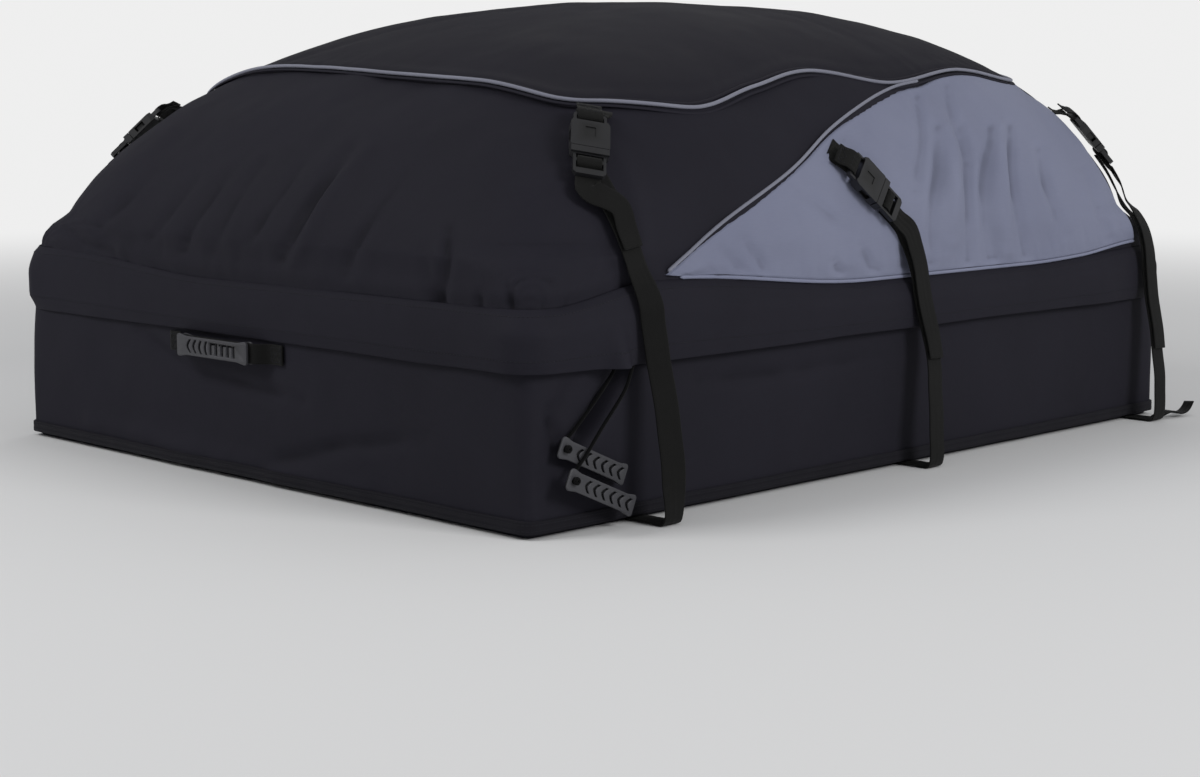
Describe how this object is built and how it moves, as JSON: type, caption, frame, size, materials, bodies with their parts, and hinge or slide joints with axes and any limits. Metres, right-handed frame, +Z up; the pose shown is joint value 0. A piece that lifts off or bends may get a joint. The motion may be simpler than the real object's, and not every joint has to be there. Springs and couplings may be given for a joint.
{
  "type": "roof cargo bag",
  "caption": "Soft rooftop luggage bag, packed and zipped, with a domed lid, rain flap over the zip, webbing straps with side-release buckles and a front carry handle.",
  "frame": {"origin": "centre of the flat base, where the bag rests on the roof", "axes": "+X towards the front of the car, +Y to its left, +Z up"},
  "size_m": [1.1347, 0.9632, 0.5089],
  "materials": {
    "black_fabric": "coated woven polyester, soft sheen",
    "crown_fabric": "coated woven polyester, soft sheen",
    "grey_fabric": "coated woven polyester, blue grey",
    "piping": "light grey corded edging",
    "webbing": "ribbed webbing",
    "black_plastic": "moulded, slightly glossy",
    "grip_rubber": "moulded, ridged",
    "zip_coil": "woven tape with a moulded coil"
  },
  "bodies": {
    "bag": {"lower_tub": "black_fabric", "lid_cover": "black_fabric", "crown_panel": "crown_fabric", "crown_piping": "piping", "side_panel_left": "grey_fabric", "side_panel_right": "grey_fabric", "side_piping_left": "piping", "side_piping_right": "piping", "zip_chain": "zip_coil", "storm_flap": "black_fabric", "base_hem": "black_fabric", "front_left_anchor_tab": "webbing", "front_left_socket": "black_plastic", "front_left_load_strap": "webbing", "front_right_anchor_tab": "webbing", "front_right_socket": "black_plastic", "front_right_load_strap": "webbing", "middle_left_anchor_tab": "webbing", "middle_left_socket": "black_plastic", "middle_left_load_strap": "webbing", "middle_right_anchor_tab": "webbing", "middle_right_socket": "black_plastic", "middle_right_load_strap": "webbing", "rear_left_anchor_tab": "webbing", "rear_left_socket": "black_plastic", "rear_left_load_strap": "webbing", "rear_left_strap_end": "webbing", "rear_right_anchor_tab": "webbing", "rear_right_socket": "black_plastic", "rear_right_load_strap": "webbing", "front_handle_webbing": "webbing", "front_handle_grip": "grip_rubber"},
    "front_left_buckle": {"front_left_plug": "black_plastic", "front_left_loop_tail": "webbing"},
    "front_right_buckle": {"front_right_plug": "black_plastic", "front_right_loop_tail": "webbing"},
    "middle_left_buckle": {"middle_left_plug": "black_plastic", "middle_left_loop_tail": "webbing"},
    "middle_right_buckle": {"middle_right_plug": "black_plastic", "middle_right_loop_tail": "webbing"},
    "rear_left_buckle": {"rear_left_plug": "black_plastic", "rear_left_loop_tail": "webbing"},
    "rear_right_buckle": {"rear_right_plug": "black_plastic", "rear_right_loop_tail": "webbing"},
    "front_puller": {"zip_slider_front": "black_plastic", "zip_leader_front": "webbing"},
    "side_puller": {"zip_slider_side": "black_plastic", "zip_leader_side": "webbing"},
    "front_grip": {"zip_grip_front": "grip_rubber"},
    "side_grip": {"zip_grip_side": "grip_rubber"}
  },
  "joints": [
    {"name": "front_left_unbuckle", "type": "slide", "parent": "bag", "child": "front_left_buckle", "axis": [0.5207, 0.5064, -0.6873], "range_m": [0, 0.03]},
    {"name": "front_right_unbuckle", "type": "slide", "parent": "bag", "child": "front_right_buckle", "axis": [0.5207, -0.5064, -0.6873], "range_m": [0, 0.03]},
    {"name": "middle_left_unbuckle", "type": "slide", "parent": "bag", "child": "middle_left_buckle", "axis": [-0.717, 0.2099, -0.6647], "range_m": [0, 0.03]},
    {"name": "middle_right_unbuckle", "type": "slide", "parent": "bag", "child": "middle_right_buckle", "axis": [-0.717, -0.2099, -0.6647], "range_m": [0, 0.03]},
    {"name": "rear_left_unbuckle", "type": "slide", "parent": "bag", "child": "rear_left_buckle", "axis": [-0.6783, 0.2432, -0.6934], "range_m": [0, 0.03]},
    {"name": "rear_right_unbuckle", "type": "slide", "parent": "bag", "child": "rear_right_buckle", "axis": [-0.6783, -0.2432, -0.6934], "range_m": [0, 0.03]},
    {"name": "front_zip", "type": "slide", "parent": "bag", "child": "front_puller", "axis": [1, 0, 0], "range_m": [0, 0.08]},
    {"name": "side_zip", "type": "slide", "parent": "bag", "child": "side_puller", "axis": [-1, 0, 0], "range_m": [0, 0.65]},
    {"name": "front_grip_swing", "type": "hinge", "parent": "front_puller", "child": "front_grip", "pos_m": [0.508, 0.4402, 0.082], "axis": [0, 1, 0], "range_deg": [0, 50]},
    {"name": "side_grip_swing", "type": "hinge", "parent": "side_puller", "child": "side_grip", "pos_m": [0.508, 0.451, 0.054], "axis": [0, 1, 0], "range_deg": [0, 50]}
  ]
}
